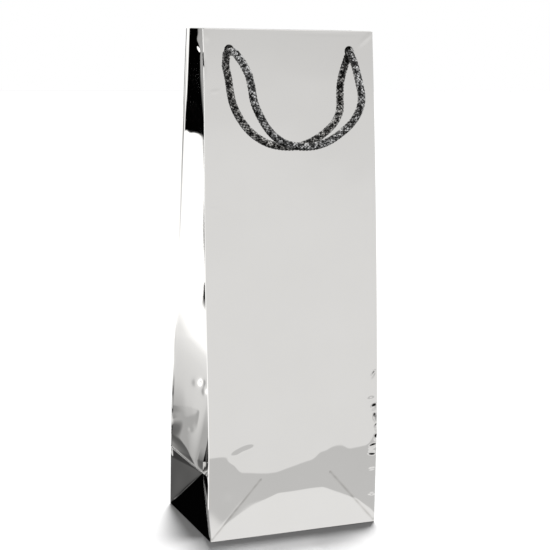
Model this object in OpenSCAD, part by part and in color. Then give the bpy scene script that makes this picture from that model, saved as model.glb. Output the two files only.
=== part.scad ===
// Gift bag for one wine bottle: a folded metallic paper sheet with side gussets,
// a card in its bottom, a stiffening board in each top hem, and two cord handles.
// The bag stands on z = 0 with its front face towards -Y.

/* [Bag] */
// Width of the bag across its front
bag_w = 130; // [120:1:150]
// Depth of the bag at its base
bag_d = 90; // [85:1:100]
// Height of the bag
bag_h = 360; // [330:5:400]
// Depth of the pinched mouth
mouth_d = 34; // [32:1:60]
// Height of the fold line above the base
fold_h = 45; // [40:1:50]
// Depth to which each side gusset is pushed in at the fold line
gusset_dent = 10; // [6:1:12]
// Height of the point where the folds of each side meet
gusset_tip_h = 36.5; // [34:0.5:40]

/* [Sheet and boards] */
// Thickness of the laminated paper
paper_t = 0.4; // [0.3:0.1:0.5]
// Thickness of the stiffening boards in the top hems
board_t = 1; // [0.8:0.1:1.2]
// Height of the top hems
hem_h = 40; // [30:1:45]
// Thickness of the loose bottom card
card_t = 1.2; // [1:0.1:1.5]

/* [Handles] */
// Distance between the two handle holes of a face
hole_gap = 92; // [88:1:94]
// Distance of the handle holes below the mouth
hole_drop = 14.5; // [12:0.5:18]
// Diameter of the punched holes
hole_d = 7.6; // [7:0.1:9]
// Diameter of the handle cord
cord_d = 5.2; // [4.5:0.1:5.5]
// Diameter of the knots
knot_d = 10.5; // [9:0.5:11]

/* [Hidden] */
$fn = 48;

// Clearance between the panels at a crease, and between stacked layers
crease_gap = 0.3;
layer_gap = 0.08;
// The hem of a gusset lies looser, as both of its layers are curved
gusset_hem_gap = 0.28;
// Stations up each panel, and across each half of a gusset
panel_steps = 12;
gusset_rows = 14;
gusset_columns = 6;
// The boards and hems stop short of the bag's vertical edges, where the gussets start
hem_inset = 10;
board_bottom = bag_h - hem_h + 2;
// Width of the glued flap that joins the sheet into a tube
seam_w = 14;
// How far the two long bottom flaps reach under the bag
flap_reach = 65;
// Inner face of the hem, measured in from the face of the panel
stack_t = paper_t + board_t + paper_t + 2 * layer_gap;
// A knot's thickness along the cord
knot_t = 6.4;

silver = [0.84, 0.84, 0.83];
white_paper = [0.95, 0.95, 0.94];
grey_board = [0.72, 0.71, 0.69];
cord_grey = [0.52, 0.52, 0.52];

// The way up a panel, from 0 at the fold line to 1 at the mouth
function rise(z) = max(0, (z - fold_h) / (bag_h - fold_h));
// How far the front and back faces have closed in at a height: the faces bow outwards
function lean(z) = (bag_d - mouth_d) / 2 * (0.64 * rise(z) + 0.36 * rise(z) * rise(z));
function half_depth(z) = bag_d / 2 - lean(z);
// Tilt of a face at a height, in degrees
function tilt(z) = atan((lean(z + 1) - lean(z - 1)) / 2);

// Each gusset half keeps its paper width, so its crease moves in as the faces close
gusset_w = sqrt(bag_d * bag_d / 4 + gusset_dent * gusset_dent);
function pinch(z) = rise(z) * rise(z);
function crease_in(z) =
  sqrt(gusset_w * gusset_w - half_depth(z) * half_depth(z)) * (1 - 0.07 * pinch(z));
function mix(a, b, t) = a * (1 - t) + b * t;
// Plan of a gusset half at height z, from the corner (u = 0) to the crease (u = 1):
// [distance in from the side, distance back from the front corner]
function gusset_plan(z, u) =
  let (g = crease_in(z), d = half_depth(z),
       qx = mix(g / 2, 0.18 * g, pinch(z)), qy = mix(d / 2, 0.76 * d, pinch(z)))
  [2 * u * (1 - u) * qx + u * u * g, 2 * u * (1 - u) * qy + u * u * d];
// Unit normal of that plan, towards the inside of the bag
function gusset_normal(z, u) =
  let (a = gusset_plan(z, max(0, u - 0.01)), b = gusset_plan(z, min(1, u + 0.01)),
       v = [b[1] - a[1], a[0] - b[0]])
  v / norm(v);
// Fold line of a gusset half, which drops towards the crease
function fold_z(u) = mix(fold_h, gusset_tip_h, u) + 2 * crease_gap;

// A point of the left front gusset half, set in by `off` from its outer face
function gusset_point(z, u, off) =
  let (p = gusset_plan(z, u) + gusset_normal(z, u) * off)
  [p[0] - bag_w / 2, p[1] - half_depth(z), z];

// Faces of a sheet of rows x columns points, doubled into an outer and an inner skin
function sheet_faces(rows, cols) =
  let (n = rows * cols, at = function(i, j, skin) skin * n + i * cols + j)
  concat(
    [for (i = [0:rows - 2], j = [0:cols - 2]) each [
      [at(i, j, 0), at(i, j + 1, 0), at(i + 1, j + 1, 0)],
      [at(i, j, 0), at(i + 1, j + 1, 0), at(i + 1, j, 0)],
      [at(i, j, 1), at(i + 1, j + 1, 1), at(i, j + 1, 1)],
      [at(i, j, 1), at(i + 1, j, 1), at(i + 1, j + 1, 1)]]],
    [for (i = [0:rows - 2]) each [
      [at(i, 0, 0), at(i + 1, 0, 0), at(i + 1, 0, 1)],
      [at(i, 0, 0), at(i + 1, 0, 1), at(i, 0, 1)],
      [at(i, cols - 1, 0), at(i + 1, cols - 1, 1), at(i + 1, cols - 1, 0)],
      [at(i, cols - 1, 0), at(i, cols - 1, 1), at(i + 1, cols - 1, 1)]]],
    [for (j = [0:cols - 2]) each [
      [at(0, j, 0), at(0, j + 1, 1), at(0, j + 1, 0)],
      [at(0, j, 0), at(0, j, 1), at(0, j + 1, 1)],
      [at(rows - 1, j, 0), at(rows - 1, j + 1, 0), at(rows - 1, j + 1, 1)],
      [at(rows - 1, j, 0), at(rows - 1, j + 1, 1), at(rows - 1, j, 1)]]]);

// Part of a gusset half between two heights, off_out and off_in deep in the bag
module gusset_strip(z_low, z_high, u_low, u_high, off_out, off_in, rows) {
  function height_at(i, u) = mix(max(z_low, fold_z(u)), z_high, i / rows);
  function u_at(i, j) = mix(u_low, u_high, j / gusset_columns);
  points = [for (off = [off_out, off_in], i = [0:rows], j = [0:gusset_columns])
    gusset_point(height_at(i, u_at(i, j)), u_at(i, j), off)];
  polyhedron(points, sheet_faces(rows + 1, gusset_columns + 1), convexity = 6);
}

// The four gusset halves are mirror images of the left front one
module at_left_front() { children(); }
module at_left_back() { mirror([0, 1, 0]) children(); }
module at_right_front() { mirror([1, 0, 0]) children(); }
module at_right_back() { mirror([1, 0, 0]) mirror([0, 1, 0]) children(); }

module gusset_half() {
  color(silver)
    gusset_strip(0, bag_h, 0.07, 0.992, 0, paper_t, gusset_rows);
}
module gusset_hem() {
  color(silver)
    gusset_strip(bag_h - hem_h, bag_h - 0.2, 0.16, 0.97,
      paper_t + gusset_hem_gap, 2 * paper_t + gusset_hem_gap, 4);
}

// A triangle of paper with its outer face on a, b, c and its edges drawn in by a gap
module foot_triangle(a, b, c) {
  la = norm(b - c);
  lb = norm(c - a);
  lc = norm(a - b);
  middle = (a * la + b * lb + c * lc) / (la + lb + lc);
  cross_n = cross(b - a, c - a);
  normal = cross_n / norm(cross_n);
  radius = norm(cross_n) / (la + lb + lc);
  outer = [for (p = [a, b, c]) p + (middle - p) * crease_gap / radius];
  inner = [for (p = outer) p - normal * paper_t];
  color(silver)
    polyhedron(concat(outer, inner),
      [[0, 2, 1], [3, 4, 5], [0, 1, 4], [0, 4, 3], [1, 2, 5], [1, 5, 4], [2, 0, 3], [2, 3, 5]]);
}
side_x = -bag_w / 2;
foot_y = bag_d / 2 - paper_t - crease_gap;
foot_front = [side_x, -foot_y, 0.9];
foot_back = [side_x, foot_y, 0.9];
fold_front = [side_x, -foot_y, fold_h];
fold_back = [side_x, foot_y, fold_h];
tip = [side_x + gusset_dent - 0.7, 0, gusset_tip_h];
module foot_bottom_facet() { foot_triangle(foot_back, foot_front, tip); }
module foot_front_facet() { foot_triangle(foot_front, fold_front, tip); }

// Section of the front face between two heights, off_out to off_in behind its outer face
module face_section(z_low, z_high, off_out, off_in) {
  heights = [for (i = [0:panel_steps]) mix(z_low, z_high, i / panel_steps)];
  outer = [for (z = heights) [-half_depth(z) + off_out, z]];
  inner = [for (i = [panel_steps:-1:0]) [-half_depth(heights[i]) + off_in, heights[i]]];
  polygon(concat(outer, inner));
}
module across(width) {
  rotate([90, 0, 90]) linear_extrude(width, center = true) children();
}
hole_z = bag_h - hole_drop;
hole_y = -half_depth(hole_z);
module handle_holes() {
  for (side = [-1, 1])
    translate([side * hole_gap / 2, hole_y, hole_z])
      rotate([90 - tilt(hole_z), 0, 0])
        cylinder(h = 12, d = hole_d, center = true);
}
module face_panel() {
  color(silver)
    difference() {
      across(bag_w) face_section(fold_h + crease_gap, bag_h, 0, paper_t);
      handle_holes();
    }
}
module top_board() {
  color(grey_board)
    difference() {
      across(bag_w - 2 * hem_inset)
        face_section(board_bottom, bag_h - 1, paper_t + layer_gap, paper_t + layer_gap + board_t);
      handle_holes();
    }
}
module face_hem() {
  color(silver)
    difference() {
      across(bag_w - 2 * hem_inset)
        union() {
          face_section(bag_h - hem_h, bag_h - 0.2, stack_t - paper_t, stack_t);
          face_section(bag_h - 0.7, bag_h - 0.2, paper_t + layer_gap, stack_t);
        }
      handle_holes();
    }
}

// Route of a handle cord on the front. Outside each hole it bends over twice: at the outer
// pivot, where the loop hangs from it, and at the inner one, just outside the hole.
inner_pivot_left = [-45.5, -24.5, 345];
inner_pivot_right = [46, -23, 342];
outer_pivot_left = [-42.5, -36, 337];
outer_pivot_right = [45.5, -33, 331];
// From each knot out through its hole
exit_left = [[-46, -13.4, 345.5], [-46, -17, 345.5], [-46, -19.5, 345.5], [-45.9, -21.6, 345.3]];
exit_right = [[46, -13.4, 345.5], [46, -17, 345.4], [46, -19, 345], [46, -20.9, 344]];
// From the inner pivot to just short of the outer one
bend_left = [inner_pivot_left, [-44.9, -27.5, 343.8], [-44, -30.5, 341.5], [-43.2, -33.8, 339]];
bend_right = [inner_pivot_right, [46, -26, 338.9], [45.8, -29, 335.8], [45.7, -31.2, 333.4]];
// The hanging loop, a little uneven
loop_route = [
  outer_pivot_left, [-39.5, -40, 329], [-38, -42, 320.5], [-36.5, -42.5, 312],
  [-33, -43, 303.5], [-27, -43, 294], [-20, -42.5, 287], [-11, -42, 282], [0, -42, 280],
  [11, -42, 280.5], [21, -41.5, 283.5], [30.5, -41, 289], [39, -40.5, 296],
  [44.5, -40.5, 304.5], [46, -41, 313.5], [45.5, -38, 323], outer_pivot_right
];

// A tube swept along a route, with round ends where the radii shrink
tube_sides = 10;
sweep_side = [1, 1, 0];
function along(route, i) =
  let (a = route[max(0, i - 1)], b = route[min(len(route) - 1, i + 1)]) (b - a) / norm(b - a);
function ring(centre, way, radius) =
  let (u = cross(sweep_side, way) / norm(cross(sweep_side, way)), v = cross(way, u))
  [for (k = [0:tube_sides - 1])
    centre + radius * (cos(360 * k / tube_sides) * u + sin(360 * k / tube_sides) * v)];
module tube(route, radii, ways) {
  rings = len(route);
  points = [for (i = [0:rings - 1]) each ring(route[i], ways[i], radii[i])];
  sides = [for (i = [0:rings - 2], k = [0:tube_sides - 1])
    let (k2 = (k + 1) % tube_sides, a = i * tube_sides, b = a + tube_sides)
    each [[a + k, b + k, b + k2], [a + k, b + k2, a + k2]]];
  first = [for (k = [0:tube_sides - 1]) k];
  last = [for (k = [tube_sides - 1:-1:0]) (rings - 1) * tube_sides + k];
  color(cord_grey)
    polyhedron(points, concat([first], sides, [last]), convexity = 8);
}
cap_angles = [75, 50, 25];
// Rings that round off an end into a half ball
function cap_before(p, way) = [for (a = cap_angles) p - way * cord_d / 2 * sin(a)];
function cap_after(p, way) = [for (i = [2:-1:0]) p + way * cord_d / 2 * sin(cap_angles[i])];
function cap_radii() = [for (a = cap_angles) cord_d / 2 * cos(a)];
function even_radii(route) = [for (p = route) cord_d / 2];
function ways_along(route) = [for (i = [0:len(route) - 1]) along(route, i)];
module open_tube(route) {
  tube(route, even_radii(route), ways_along(route));
}
module tube_from_pivot(route) {
  way = along(route, 0);
  tube(concat(cap_before(route[0], way), route), concat(cap_radii(), even_radii(route)),
    concat([for (a = cap_angles) way], ways_along(route)));
}
module tube_between_pivots(route) {
  last = len(route) - 1;
  way_in = along(route, 0);
  way_out = along(route, last);
  radii = cap_radii();
  tube(concat(cap_before(route[0], way_in), route, cap_after(route[last], way_out)),
    concat(radii, even_radii(route), [for (i = [2:-1:0]) radii[i]]),
    concat([for (a = cap_angles) way_in], ways_along(route), [for (a = cap_angles) way_out]));
}
knot_y = hole_y + stack_t + 0.3 + knot_t / 2;
module knot_bead(side) {
  color(cord_grey)
    translate([side * hole_gap / 2, knot_y, hole_z])
      rotate([90, 0, 0])
        rotate_extrude()
          intersection() {
            union() {
              translate([knot_d / 2 - knot_t / 2, 0]) circle(knot_t / 2);
              translate([0, -knot_t / 2]) square([knot_d / 2 - knot_t / 2, knot_t]);
            }
            translate([0, -knot_t]) square([knot_d, 2 * knot_t]);
          }
}

// The base: two long flaps glued over two short ones, and the loose card on them
module long_flap(z_low) {
  color(silver)
    translate([-bag_w / 2 + 0.8, -bag_d / 2 + paper_t + crease_gap, z_low])
      cube([bag_w - 1.6, flap_reach, paper_t]);
}
module short_flap(z_low) {
  color(silver)
    translate([-bag_w / 2 + 1.4, -bag_d / 2 + 1.4, z_low])
      cube([42, bag_d - 2.8, paper_t]);
}
flap_z = [0, paper_t + layer_gap, 2 * (paper_t + layer_gap)];
module bottom_flap_back() { mirror([0, 1, 0]) long_flap(flap_z[0]); }
module bottom_flap_front() { long_flap(flap_z[1]); }
module bottom_flap_left() { short_flap(flap_z[2]); }
module bottom_flap_right() { mirror([1, 0, 0]) short_flap(flap_z[2]); }
module bottom_card() {
  color(grey_board)
    translate([-bag_w / 2 + 4, -bag_d / 2 + 3, 3 * (paper_t + layer_gap)])
      cube([bag_w - 8, bag_d - 6, card_t]);
}
module foot_panel() {
  color(silver)
    translate([-bag_w / 2, -bag_d / 2, 0])
      cube([bag_w, paper_t, fold_h - crease_gap]);
}
module side_seam_flap() {
  color(white_paper)
    mirror([0, 1, 0])
      translate([bag_w / 2 - seam_w / 2 - 2, 0, 0])
        across(seam_w)
          face_section(fold_h + 2, board_bottom - 4, paper_t + layer_gap, 2 * paper_t + layer_gap);
}

// The back handle is the front one turned half round about the bag's vertical axis
module at_back() { rotate([0, 0, 180]) children(); }

bottom_flap_back();
bottom_flap_front();
bottom_flap_left();
bottom_flap_right();
foot_panel();  // front_foot_panel
mirror([0, 1, 0]) foot_panel();  // back_foot_panel
at_left_front() foot_bottom_facet();  // left_foot_triangle
at_left_front() foot_front_facet();  // left_foot_front_corner
at_left_back() foot_front_facet();  // left_foot_back_corner
at_right_front() foot_bottom_facet();  // right_foot_triangle
at_right_front() foot_front_facet();  // right_foot_front_corner
at_right_back() foot_front_facet();  // right_foot_back_corner
at_left_front() gusset_half();  // left_gusset_front
at_left_back() gusset_half();  // left_gusset_back
at_right_front() gusset_half();  // right_gusset_front
at_right_back() gusset_half();  // right_gusset_back
at_left_front() gusset_hem();  // left_hem_front
at_left_back() gusset_hem();  // left_hem_back
at_right_front() gusset_hem();  // right_hem_front
at_right_back() gusset_hem();  // right_hem_back
face_panel();  // front_panel
top_board();  // front_top_board
face_hem();  // front_hem
mirror([0, 1, 0]) face_panel();  // back_panel
mirror([0, 1, 0]) top_board();  // back_top_board
mirror([0, 1, 0]) face_hem();  // back_hem
side_seam_flap();
bottom_card();
tube_between_pivots(loop_route);  // front_cord
tube_from_pivot(bend_left);  // front_cord_bend_left
tube_from_pivot(bend_right);  // front_cord_bend_right
open_tube(exit_left);  // front_cord_exit_left
open_tube(exit_right);  // front_cord_exit_right
knot_bead(-1);  // front_knot_left
knot_bead(1);  // front_knot_right
at_back() tube_between_pivots(loop_route);  // back_cord
at_back() tube_from_pivot(bend_right);  // back_cord_bend_left
at_back() tube_from_pivot(bend_left);  // back_cord_bend_right
at_back() open_tube(exit_right);  // back_cord_exit_left
at_back() open_tube(exit_left);  // back_cord_exit_right
at_back() knot_bead(1);  // back_knot_left
at_back() knot_bead(-1);  // back_knot_right
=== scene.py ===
"""A tall gift bag for one bottle in mirror-bright metallised paper, with braided cord handles.

Lengths are in millimetres until a mesh is made, and in metres from there on.
The bag stands on z = 0 with its front face towards -Y, as in part.scad.
"""

import math

import bpy
import numpy as np
from mathutils import Matrix, Vector


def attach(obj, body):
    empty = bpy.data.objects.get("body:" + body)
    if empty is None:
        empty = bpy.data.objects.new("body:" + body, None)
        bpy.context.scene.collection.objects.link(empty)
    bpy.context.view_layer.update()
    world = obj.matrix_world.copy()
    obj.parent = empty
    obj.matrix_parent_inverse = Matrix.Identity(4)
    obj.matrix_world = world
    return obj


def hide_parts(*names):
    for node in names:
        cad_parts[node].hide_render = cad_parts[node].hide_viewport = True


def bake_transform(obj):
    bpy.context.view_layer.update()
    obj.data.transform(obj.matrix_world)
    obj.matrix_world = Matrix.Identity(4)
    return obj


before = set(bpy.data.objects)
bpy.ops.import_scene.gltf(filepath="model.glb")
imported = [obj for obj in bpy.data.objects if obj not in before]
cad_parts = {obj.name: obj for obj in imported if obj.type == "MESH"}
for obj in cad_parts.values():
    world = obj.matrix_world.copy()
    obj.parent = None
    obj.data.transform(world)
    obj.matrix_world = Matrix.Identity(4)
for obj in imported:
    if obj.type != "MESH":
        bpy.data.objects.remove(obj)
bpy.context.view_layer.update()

MM = 0.001
BAG_W = 130.0
BAG_D = 90.0
BAG_H = 360.0
MOUTH_D = 34.0
FOLD_H = 45.0
DENT = 10.0
TIP_Z = 36.5
PAPER_T = 0.4
BOARD_T = 1.0
LAYER = 0.08
HEM_H = 40.0
HEM_INSET = 10.0
STACK_T = 2 * PAPER_T + BOARD_T + 2 * LAYER
HOLE_X = 46.0
HOLE_Z = 345.5
HOLE_R = 3.8
HALF_W = BAG_W / 2
# Which way each side looks along x, and each face along y
WAY_X = {"left": -1.0, "right": 1.0}
WAY_Y = {"front": -1.0, "back": 1.0}


# -------------------------------- camera

CAMERA_AT = (-0.4007, -0.9480, 0.3654)
CAMERA_AZIMUTH = math.radians(22.896)
CAMERA_DOWN = math.radians(10.099)
CAMERA_ROLL = math.radians(-1.129)
CAMERA_LENS = 93.09


def make_camera():
    """The camera where the photograph was taken from: turned from +Y towards +X, and down."""
    turn, down = CAMERA_AZIMUTH, CAMERA_DOWN
    level = math.cos(down)
    ahead = Vector((math.sin(turn) * level, math.cos(turn) * level, -math.sin(down)))
    right = Vector((math.cos(turn), -math.sin(turn), 0.0))
    up = right.cross(ahead)
    c, s = math.cos(CAMERA_ROLL), math.sin(CAMERA_ROLL)
    rolled_right = right * c - up * s
    rolled_up = right * s + up * c
    data = bpy.data.cameras.new("camera")
    data.lens = CAMERA_LENS
    data.sensor_width = 36.0
    data.clip_start = 0.01
    data.clip_end = 50.0
    camera = bpy.data.objects.new("camera", data)
    bpy.context.scene.collection.objects.link(camera)
    basis = Matrix((rolled_right, rolled_up, -ahead)).transposed().to_4x4()
    camera.matrix_world = Matrix.Translation(CAMERA_AT) @ basis
    bpy.context.scene.camera = camera


make_camera()


# -------------------------------- materials


def grey(value):
    return value, value, value, 1


class Nodes:
    """A short way to add nodes to a tree and join them."""

    def __init__(self, tree):
        self.tree = tree
        tree.nodes.clear()

    def add(self, kind, **settings):
        node = self.tree.nodes.new(kind)
        for name, value in settings.items():
            setattr(node, name, value)
        return node

    def join(self, a, b):
        self.tree.links.new(a, b)

    def put(self, socket, value):
        """Joins another node's output to a socket, or sets a plain value on it."""
        if isinstance(value, bpy.types.NodeSocket):
            self.join(value, socket)
        else:
            socket.default_value = value

    def math(self, operation, a, b=None):
        node = self.add("ShaderNodeMath", operation=operation)
        self.put(node.inputs[0], a)
        if b is not None:
            self.put(node.inputs[1], b)
        return node.outputs[0]

    def mix(self, factor, a, b):
        node = self.add("ShaderNodeMix", data_type="RGBA")
        self.put(node.inputs[0], factor)
        self.put(node.inputs[6], a)
        self.put(node.inputs[7], b)
        return node.outputs[2]

    def ramp(self, factor, stops):
        """A ramp from (place, grey or colour) stops."""
        node = self.add("ShaderNodeValToRGB")
        elements = node.color_ramp.elements
        while len(elements) > 1:
            elements.remove(elements[-1])
        for i, (place, value) in enumerate(stops):
            element = elements[0] if i == 0 else elements.new(place)
            element.position = place
            element.color = grey(value) if isinstance(value, float) else (*value, 1)
        self.join(factor, node.inputs[0])
        return node.outputs[0]

    def smooth_step(self, value, low, high):
        node = self.add("ShaderNodeMapRange", interpolation_type="SMOOTHSTEP")
        self.put(node.inputs[0], value)
        node.inputs[1].default_value = low
        node.inputs[2].default_value = high
        return node.outputs[0]

    def noise(self, vector, scale, detail=2.0, roughness=0.5):
        node = self.add("ShaderNodeTexNoise")
        self.join(vector, node.inputs["Vector"])
        node.inputs["Scale"].default_value = scale
        node.inputs["Detail"].default_value = detail
        node.inputs["Roughness"].default_value = roughness
        return node.outputs["Fac"]

    def bump(self, height, strength, distance):
        node = self.add("ShaderNodeBump")
        self.join(height, node.inputs["Height"])
        node.inputs["Strength"].default_value = strength
        node.inputs["Distance"].default_value = distance
        return node.outputs["Normal"]


def new_material(name):
    """A material with a Principled shader, and the place on the object to drive its textures."""
    material = bpy.data.materials.new(name)
    material.use_nodes = True
    nodes = Nodes(material.node_tree)
    shader = nodes.add("ShaderNodeBsdfPrincipled")
    output = nodes.add("ShaderNodeOutputMaterial")
    nodes.join(shader.outputs[0], output.inputs["Surface"])
    place = nodes.add("ShaderNodeTexCoord").outputs["Object"]
    return material, nodes, shader, place


def foil_material():
    """Metallised laminate: a mirror with a faint haze and the paper's grain showing through."""
    material, nodes, shader, place = new_material("silver_foil")
    haze = nodes.noise(place, 22.0, 3.0)
    tint = nodes.ramp(haze, [(0.3, (0.942, 0.93, 0.908)), (0.7, (0.96, 0.948, 0.927))])
    # Painted shade: the base colour is darkened along the pressed creases of the foot.
    painted_crease_shade = nodes.add("ShaderNodeAttribute", attribute_name="painted_crease_shade").outputs["Fac"]
    nodes.join(nodes.mix(painted_crease_shade, tint, (0.69, 0.675, 0.65, 1)), shader.inputs["Base Color"])
    shader.inputs["Metallic"].default_value = 1.0
    rough = nodes.ramp(nodes.noise(place, 60.0, 4.0), [(0.35, 0.015), (0.7, 0.045)])
    nodes.join(rough, shader.inputs["Roughness"])
    grain = nodes.noise(place, 900.0, 3.0, 0.6)
    nodes.join(nodes.bump(grain, 0.05, 0.00002), shader.inputs["Normal"])
    return material


def paper_material():
    """The uncoated back of the paper, matt white with fibres, also seen on its cut edges."""
    material, nodes, shader, place = new_material("white_paper")
    cloud = nodes.noise(place, 90.0, 4.0)
    tint = nodes.ramp(cloud, [(0.3, (0.80, 0.795, 0.78)), (0.7, (0.87, 0.868, 0.855))])
    nodes.join(tint, shader.inputs["Base Color"])
    shader.inputs["Roughness"].default_value = 0.85
    fibres = nodes.noise(place, 1800.0, 6.0, 0.7)
    nodes.join(nodes.bump(fibres, 0.35, 0.00006), shader.inputs["Normal"])
    return material


def board_material():
    """Grey recycled board with darker flecks."""
    material, nodes, shader, place = new_material("grey_card")
    cloud = nodes.noise(place, 160.0, 5.0)
    base = nodes.ramp(cloud, [(0.3, (0.40, 0.39, 0.37)), (0.7, (0.52, 0.51, 0.485))])
    fleck = nodes.smooth_step(nodes.noise(place, 700.0, 2.0), 0.66, 0.72)
    nodes.join(nodes.mix(fleck, base, (0.22, 0.21, 0.2, 1)), shader.inputs["Base Color"])
    shader.inputs["Roughness"].default_value = 0.9
    nodes.join(nodes.bump(nodes.noise(place, 1200.0, 5.0, 0.7), 0.4, 0.00008), shader.inputs["Normal"])
    return material


def cord_material():
    """Braided metallic yarn: bright silver threads with dull and dark fibres among them, and painted
    shade where the threads crowd together.
    """
    material, nodes, shader, place = new_material("braided_yarn")
    wide = nodes.noise(place, 420.0, 2.0, 0.5)
    fine = nodes.noise(place, 2600.0, 2.0, 0.6)
    tint = nodes.ramp(wide, [(0.42, 0.035), (0.52, 0.3), (0.63, 0.96)])
    # Painted shade: the threads' colour goes near black where the braid's crevices hide them from light.
    near = nodes.add("ShaderNodeAmbientOcclusion", samples=8)
    near.inputs["Distance"].default_value = 0.005
    open_to_light = nodes.math("POWER", near.outputs["AO"], 2.1)
    nodes.join(nodes.mix(open_to_light, (0.006, 0.006, 0.006, 1), tint), shader.inputs["Base Color"])
    shader.inputs["Metallic"].default_value = 1.0
    rough = nodes.ramp(fine, [(0.35, 0.12), (0.65, 0.3)])
    nodes.join(rough, shader.inputs["Roughness"])
    nodes.join(nodes.bump(fine, 0.35, 0.0001), shader.inputs["Normal"])
    return material


def core_material():
    """The core inside the braid, near black, which shows between the threads as painted shade for the
    gaps between them.
    """
    material, nodes, shader, place = new_material("cord_core")
    # Painted shade: the core is coloured near black so that the gaps between the threads read as shade.
    tint = nodes.ramp(nodes.noise(place, 1500.0, 3.0), [(0.3, 0.012), (0.7, 0.05)])
    nodes.join(tint, shader.inputs["Base Color"])
    shader.inputs["Roughness"].default_value = 0.8
    return material


FOIL = foil_material()
PAPER = paper_material()
BOARD = board_material()
CORD = cord_material()
CORE = core_material()


# -------------------------------- mesh tools


def unit(v):
    return v / np.maximum(np.linalg.norm(v, axis=-1, keepdims=True), 1e-12)


def mesh_object(name, points, faces, face_slots, materials, sharp=24.0):
    """A smooth-shaded object from points in millimetres, in the row frame. `faces` is an array of
    quads, or a list where some have more corners."""
    mesh = bpy.data.meshes.new(name)
    if isinstance(faces, np.ndarray):
        mesh.vertices.add(len(points))
        mesh.vertices.foreach_set("co", (np.asarray(points) * MM).astype(np.float32).ravel())
        mesh.loops.add(faces.size)
        mesh.loops.foreach_set("vertex_index", faces.astype(np.int32).ravel())
        mesh.polygons.add(len(faces))
        mesh.polygons.foreach_set("loop_start", np.arange(0, faces.size, 4, dtype=np.int32))
    else:
        mesh.from_pydata((np.asarray(points) * MM).tolist(), [], faces)
    for material in materials:
        mesh.materials.append(material)
    mesh.polygons.foreach_set("material_index", np.asarray(face_slots, np.int32))
    mesh.polygons.foreach_set("use_smooth", np.ones(len(faces), bool))
    mesh.update(calc_edges=True)
    mesh.set_sharp_from_angle(angle=math.radians(sharp))
    mesh.validate()
    obj = bpy.data.objects.new(name, mesh)
    bpy.context.scene.collection.objects.link(obj)
    return obj


def grid_quads(rows, cols):
    a = (np.arange(rows - 1)[:, None] * cols + np.arange(cols - 1)[None, :]).reshape(-1)
    return np.stack([a, a + 1, a + cols + 1, a + cols], axis=1)


def border_edges(quads, count):
    """The edges that only one quad uses, in that quad's direction."""
    edges = np.concatenate([quads[:, [k, (k + 1) % 4]] for k in range(4)])
    key = edges.min(axis=1) * count + edges.max(axis=1)
    _, first, uses = np.unique(key, return_index=True, return_counts=True)
    return edges[first[uses == 1]]


def shell(name, outer, inner, materials, drop=None):
    """A sheet with thickness from two grids of points: the outer skin takes the first material,
    the inner skin the second and the cut edges the last. `drop` leaves out quads, as at a hole."""
    rows, cols = outer.shape[:2]
    quads = grid_quads(rows, cols)
    if drop is not None:
        quads = quads[~drop.reshape(-1)]
    count = rows * cols
    rim = border_edges(quads, count)
    back = quads[:, ::-1] + count
    edge = np.stack([rim[:, 1], rim[:, 0], rim[:, 0] + count, rim[:, 1] + count], axis=1)
    faces = np.concatenate([quads, back, edge])
    points = np.concatenate([outer.reshape(-1, 3), inner.reshape(-1, 3)])
    tri = points[faces[:, :3]]
    half = points[faces[:, [0, 2, 3]]]
    volume = sum(float((t[:, 0] * np.cross(t[:, 1], t[:, 2])).sum()) for t in (tri, half))
    if volume < 0:
        faces = faces[:, ::-1]
    last = len(materials) - 1
    slots = np.repeat([0, min(1, last), last], [len(quads), len(quads), len(edge)])
    used, faces = np.unique(faces, return_inverse=True)
    return mesh_object(name, points[used], faces.reshape(-1, 4), slots, materials)


def lerp(a, b, t):
    return a * (1 - t) + b * t


def step(value, low, high):
    t = np.clip((value - low) / (high - low), 0, 1)
    return t * t * (3 - 2 * t)


def soft_ramp(v, width):
    """Zero below 0 and v above it, rounded over about `width`."""
    return width * np.logaddexp(0, v / width)


def soft_min(a, b, width):
    return -width * np.logaddexp(-a / width, -b / width)


class Waves:
    """Smooth seeded unevenness: a sum of long waves, about 1 high."""

    def __init__(self, seed, length, count=14):
        rng = np.random.default_rng(seed)
        turn = rng.uniform(0, 2 * math.pi, count)
        size = (2 * math.pi / length) * rng.uniform(0.5, 1.5, count)
        self.kx = np.cos(turn) * size
        self.ky = np.sin(turn) * size
        self.phase = rng.uniform(0, 2 * math.pi, count)

    def at(self, x, y):
        total = 0.0
        for kx, ky, phase in zip(self.kx, self.ky, self.phase):
            total = total + np.sin(kx * x + ky * y + phase)
        return total / math.sqrt(len(self.kx) / 2) / 1.6


def dent(x, y, centre, radii, turn_degrees=0.0):
    """A smooth bump, 1 high at its centre."""
    t = math.radians(turn_degrees)
    dx, dy = x - centre[0], y - centre[1]
    u = dx * math.cos(t) + dy * math.sin(t)
    v = -dx * math.sin(t) + dy * math.cos(t)
    return np.exp(-((u / radii[0]) ** 2) - (v / radii[1]) ** 2)


# -------------------------------- the bag's outline


TABLE_REACH = 90
TABLE_STEP = 0.25


def soft_table(table, x, width):
    """A height read from a table of (place, height), smoothed along the places."""
    at = np.linspace(-TABLE_REACH, TABLE_REACH, int(2 * TABLE_REACH / TABLE_STEP) + 1)
    height = np.interp(at, [p[0] for p in table], [p[1] for p in table])
    count = int(2.5 * width / TABLE_STEP) + 1
    reach = np.arange(-count, count + 1) * TABLE_STEP
    weight = np.exp(-((reach / width) ** 2))
    padded = np.pad(height, count, mode="edge")
    height = np.convolve(padded, weight / weight.sum(), mode="valid")
    return np.interp(x, at, height)


def rise(z):
    return np.maximum(0.0, (z - FOLD_H) / (BAG_H - FOLD_H))


def lean_of(r):
    return (BAG_D - MOUTH_D) / 2 * (0.64 * r + 0.36 * r * r)


def half_depth(z):
    return BAG_D / 2 - lean_of(rise(z))


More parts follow.
